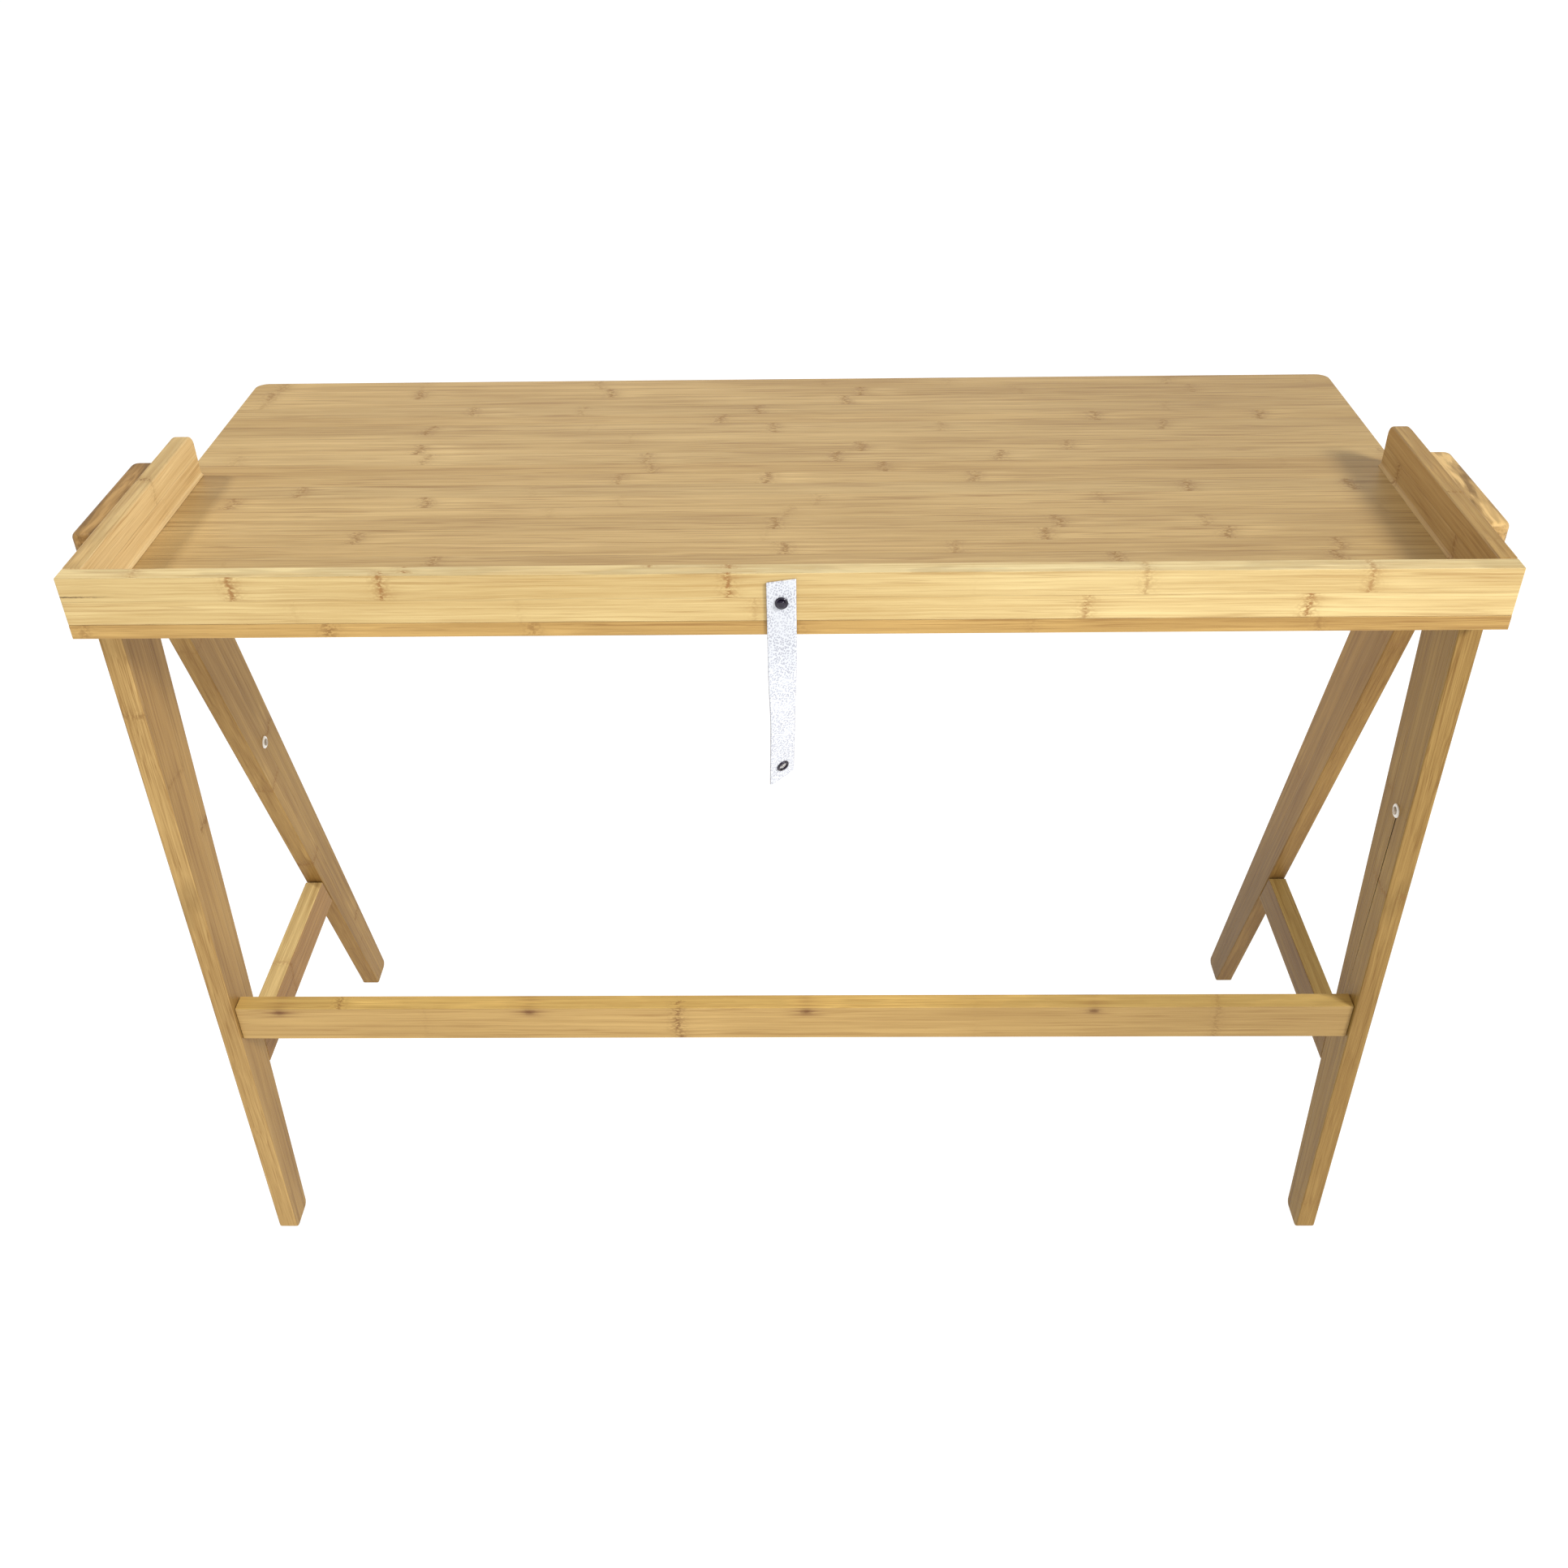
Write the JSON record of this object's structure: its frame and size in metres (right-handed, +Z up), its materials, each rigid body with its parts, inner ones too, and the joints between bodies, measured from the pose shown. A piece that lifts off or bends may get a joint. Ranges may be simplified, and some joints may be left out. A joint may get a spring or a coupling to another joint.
{
  "type": "folding tray table",
  "caption": "Folding bamboo tray table: a lift-off tray with a back rim, side rails and grips rests on a stand whose A-shaped side frames swing in on hinges behind a crossbar.",
  "frame": {"origin": "centre of the part's box in X and Y, on the floor", "axes": "+X along the long side of the tray, +Y from the back rim towards the open side where the user sits, +Z up"},
  "size_m": [1.041, 0.459, 0.727],
  "materials": {
    "bamboo_top": "satin",
    "bamboo_rim": "satin",
    "bamboo_grip": "satin",
    "bamboo_stand": "satin",
    "beech_dowel": "matte",
    "hinge_steel": "satin",
    "strap_white": "satin",
    "snap_black": "gloss",
    "snap_nickel": "satin",
    "pad_rubber": "matte",
    "washer_cream": "satin",
    "screw_dark": "satin"
  },
  "bodies": {
    "stand": {"crossbar": "bamboo_stand", "right_bar_leaf": "hinge_steel", "left_bar_leaf": "hinge_steel", "right_hinge_pin": "hinge_steel", "left_hinge_pin": "hinge_steel", "bar_leaf_screws": "hinge_steel"},
    "tray": {"tabletop_panel": "bamboo_top", "back_rim": "bamboo_rim", "right_side_rail": "bamboo_rim", "left_side_rail": "bamboo_rim", "right_grip_bar": "bamboo_grip", "left_grip_bar": "bamboo_grip", "rim_screws": "hinge_steel", "right_rail_screws": "hinge_steel", "left_rail_screws": "hinge_steel", "rim_corner_dowels": "beech_dowel", "grip_dowels": "beech_dowel", "right_corner_cleat": "bamboo_stand", "left_corner_cleat": "bamboo_stand", "right_stop_block": "bamboo_stand", "left_stop_block": "bamboo_stand", "cleat_screws": "hinge_steel", "strap": "strap_white", "snap_stud": "snap_black", "snap_socket": "snap_black", "snap_cap": "snap_nickel"},
    "right_frame": {"right_back_leg": "bamboo_stand", "right_front_leg": "bamboo_stand", "right_brace": "bamboo_stand", "right_top_rail": "bamboo_stand", "right_frame_dowels": "beech_dowel", "right_leg_leaf": "hinge_steel", "right_leaf_screws": "hinge_steel", "right_rest_pads": "pad_rubber", "right_button_washer": "washer_cream", "right_button_screw": "screw_dark"},
    "left_frame": {"left_back_leg": "bamboo_stand", "left_front_leg": "bamboo_stand", "left_brace": "bamboo_stand", "left_top_rail": "bamboo_stand", "left_frame_dowels": "beech_dowel", "left_leg_leaf": "hinge_steel", "left_leaf_screws": "hinge_steel", "left_rest_pads": "pad_rubber", "left_button_washer": "washer_cream", "left_button_screw": "screw_dark"}
  },
  "joints": [
    {"name": "tray_lift", "type": "slide", "parent": "stand", "child": "tray", "axis": [0, 0, 1], "range_m": [0, 0.15]},
    {"name": "right_frame_fold", "type": "hinge", "parent": "stand", "child": "right_frame", "pos_m": [0.4808, -0.1743, 0.2655], "axis": [0, 0, 1], "range_deg": [0, 90]},
    {"name": "left_frame_fold", "type": "hinge", "parent": "stand", "child": "left_frame", "pos_m": [-0.4808, -0.1743, 0.2655], "axis": [0, 0, -1], "range_deg": [0, 90]}
  ]
}
